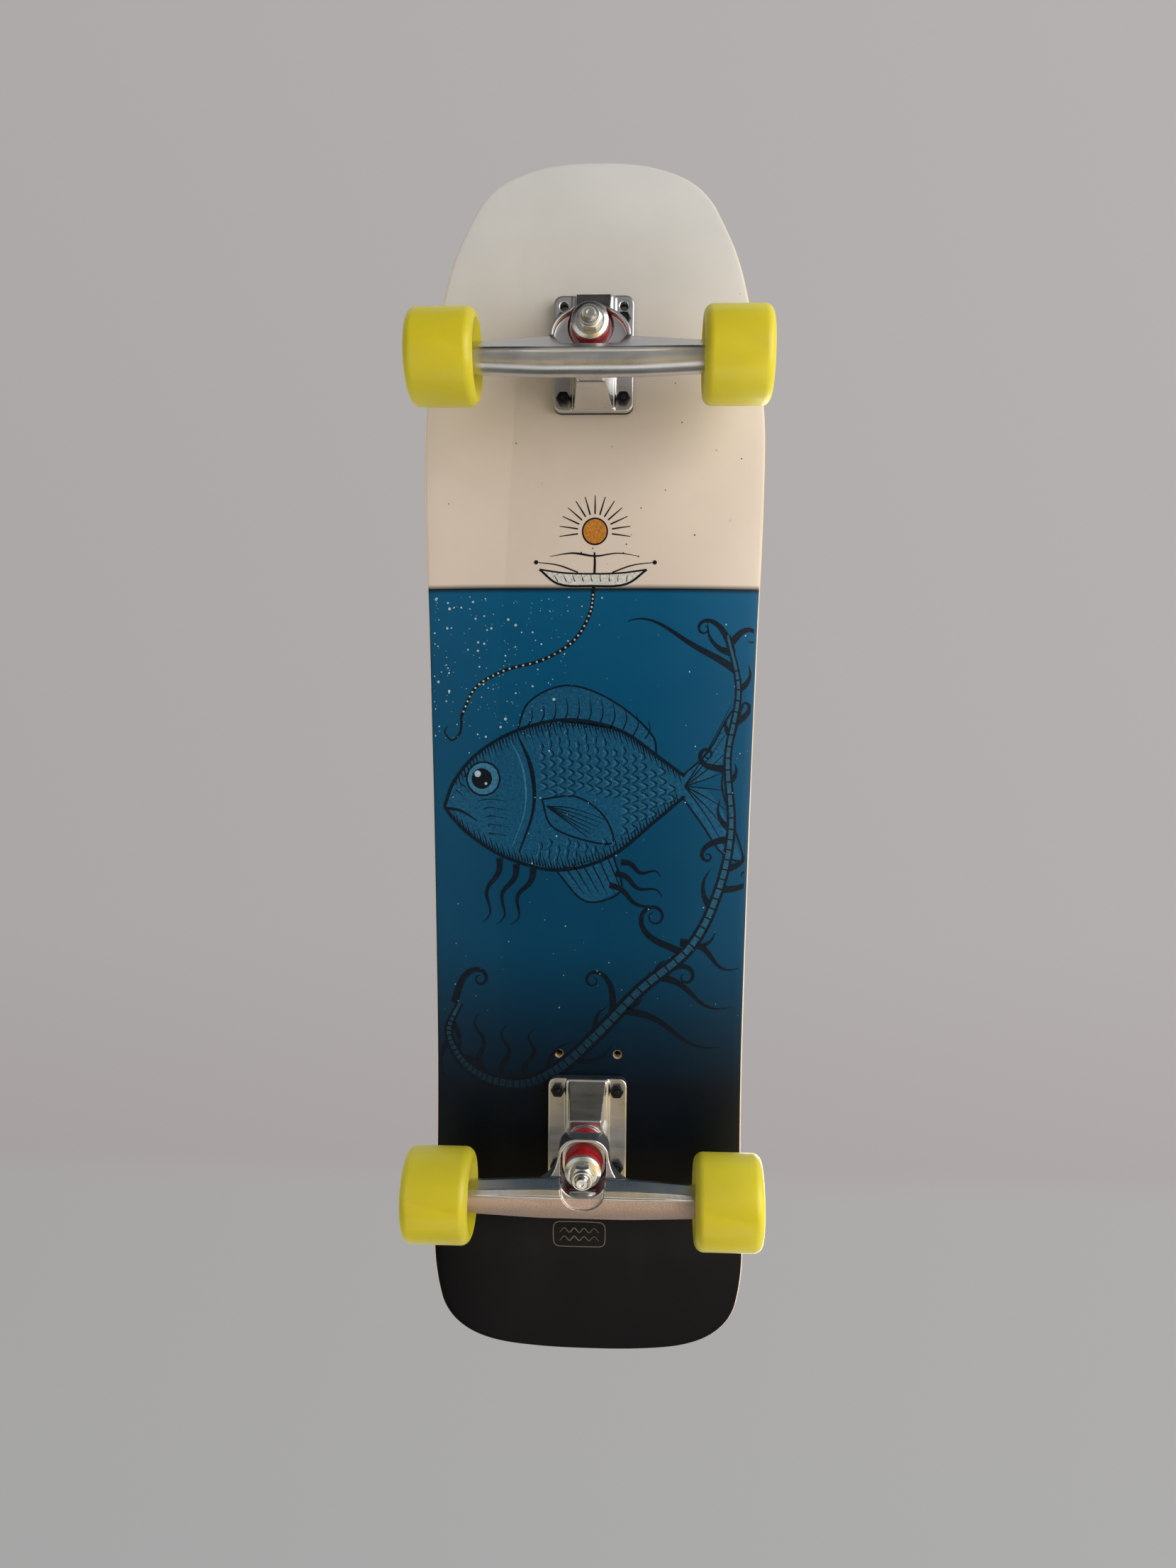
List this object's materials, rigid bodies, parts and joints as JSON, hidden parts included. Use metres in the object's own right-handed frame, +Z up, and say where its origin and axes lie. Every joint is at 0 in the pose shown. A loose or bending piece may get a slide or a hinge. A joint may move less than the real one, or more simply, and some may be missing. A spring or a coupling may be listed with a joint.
{
  "type": "skateboard",
  "caption": "Cruiser skateboard: concave maple deck with kicked ends, grip tape on top, two lean-to-steer cast trucks with bushings, and soft wide wheels on bearings.",
  "frame": {"origin": "on the ground under the middle of the deck, standing on its wheels", "axes": "+Y towards the nose, +Z up through the riding side, +X to the rider's right"},
  "size_m": [0.2402, 0.8587, 0.1389],
  "materials": {
    "maple": "satin",
    "grit": "matte",
    "rubber": "matte",
    "cast": "satin",
    "steel": "satin",
    "zinc": "satin",
    "black_steel": "satin",
    "bushing": "satin",
    "nylon": "satin",
    "urethane": "satin"
  },
  "bodies": {
    "root": {"deck": "maple", "grip_tape": "grit", "front_riser_pad": "rubber", "front_baseplate": "cast", "front_kingpin": "zinc", "front_boardside_washer": "zinc", "front_boardside_bushing": "bushing", "front_roadside_bushing": "bushing", "front_roadside_washer": "zinc", "front_kingpin_nut": "zinc", "front_pivot_cup": "nylon", "front_inner_left_bolt": "black_steel", "front_inner_left_lock_nut": "black_steel", "front_inner_right_bolt": "black_steel", "front_inner_right_lock_nut": "black_steel", "front_outer_left_bolt": "black_steel", "front_outer_left_lock_nut": "black_steel", "front_outer_right_bolt": "black_steel", "front_outer_right_lock_nut": "black_steel", "rear_riser_pad": "rubber", "rear_baseplate": "cast", "rear_kingpin": "zinc", "rear_boardside_washer": "zinc", "rear_boardside_bushing": "bushing", "rear_roadside_bushing": "bushing", "rear_roadside_washer": "zinc", "rear_kingpin_nut": "zinc", "rear_pivot_cup": "nylon", "rear_inner_left_bolt": "black_steel", "rear_inner_left_lock_nut": "black_steel", "rear_inner_right_bolt": "black_steel", "rear_inner_right_lock_nut": "black_steel", "rear_outer_left_bolt": "black_steel", "rear_outer_left_lock_nut": "black_steel", "rear_outer_right_bolt": "black_steel", "rear_outer_right_lock_nut": "black_steel"},
    "front_hanger_body": {"front_hanger": "cast", "front_axle": "steel", "front_left_bearing_spacer": "steel", "front_left_axle_nut": "zinc", "front_right_bearing_spacer": "steel", "front_right_axle_nut": "zinc"},
    "front_left_wheel_body": {"front_left_wheel": "urethane", "front_left_inner_bearing": "steel", "front_left_outer_bearing": "steel"},
    "front_right_wheel_body": {"front_right_wheel": "urethane", "front_right_inner_bearing": "steel", "front_right_outer_bearing": "steel"},
    "rear_hanger_body": {"rear_hanger": "cast", "rear_axle": "steel", "rear_left_bearing_spacer": "steel", "rear_left_axle_nut": "zinc", "rear_right_bearing_spacer": "steel", "rear_right_axle_nut": "zinc"},
    "rear_left_wheel_body": {"rear_left_wheel": "urethane", "rear_left_inner_bearing": "steel", "rear_left_outer_bearing": "steel"},
    "rear_right_wheel_body": {"rear_right_wheel": "urethane", "rear_right_inner_bearing": "steel", "rear_right_outer_bearing": "steel"}
  },
  "joints": [
    {"name": "front_steer", "type": "hinge", "parent": "root", "child": "front_hanger_body", "pos_m": [0, 0.267, 0.0475], "axis": [0, 0.9397, 0.342], "range_deg": [-12, 12], "stiffness_Nm_per_rad": 60, "deforming": ["front_boardside_bushing", "front_roadside_bushing"]},
    {"name": "front_left_wheel_spin", "type": "hinge", "parent": "front_hanger_body", "child": "front_left_wheel_body", "pos_m": [0, 0.2677, 0.031], "axis": [1, 0, 0], "continuous": true},
    {"name": "front_right_wheel_spin", "type": "hinge", "parent": "front_hanger_body", "child": "front_right_wheel_body", "pos_m": [0, 0.2677, 0.031], "axis": [1, 0, 0], "continuous": true},
    {"name": "rear_steer", "type": "hinge", "parent": "root", "child": "rear_hanger_body", "pos_m": [0, -0.284, 0.07], "axis": [0, 0.7771, -0.6293], "range_deg": [-12, 12], "stiffness_Nm_per_rad": 60, "deforming": ["rear_boardside_bushing", "rear_roadside_bushing"]},
    {"name": "rear_left_wheel_spin", "type": "hinge", "parent": "rear_hanger_body", "child": "rear_left_wheel_body", "pos_m": [0, -0.2789, 0.031], "axis": [1, 0, 0], "continuous": true},
    {"name": "rear_right_wheel_spin", "type": "hinge", "parent": "rear_hanger_body", "child": "rear_right_wheel_body", "pos_m": [0, -0.2789, 0.031], "axis": [1, 0, 0], "continuous": true}
  ]
}
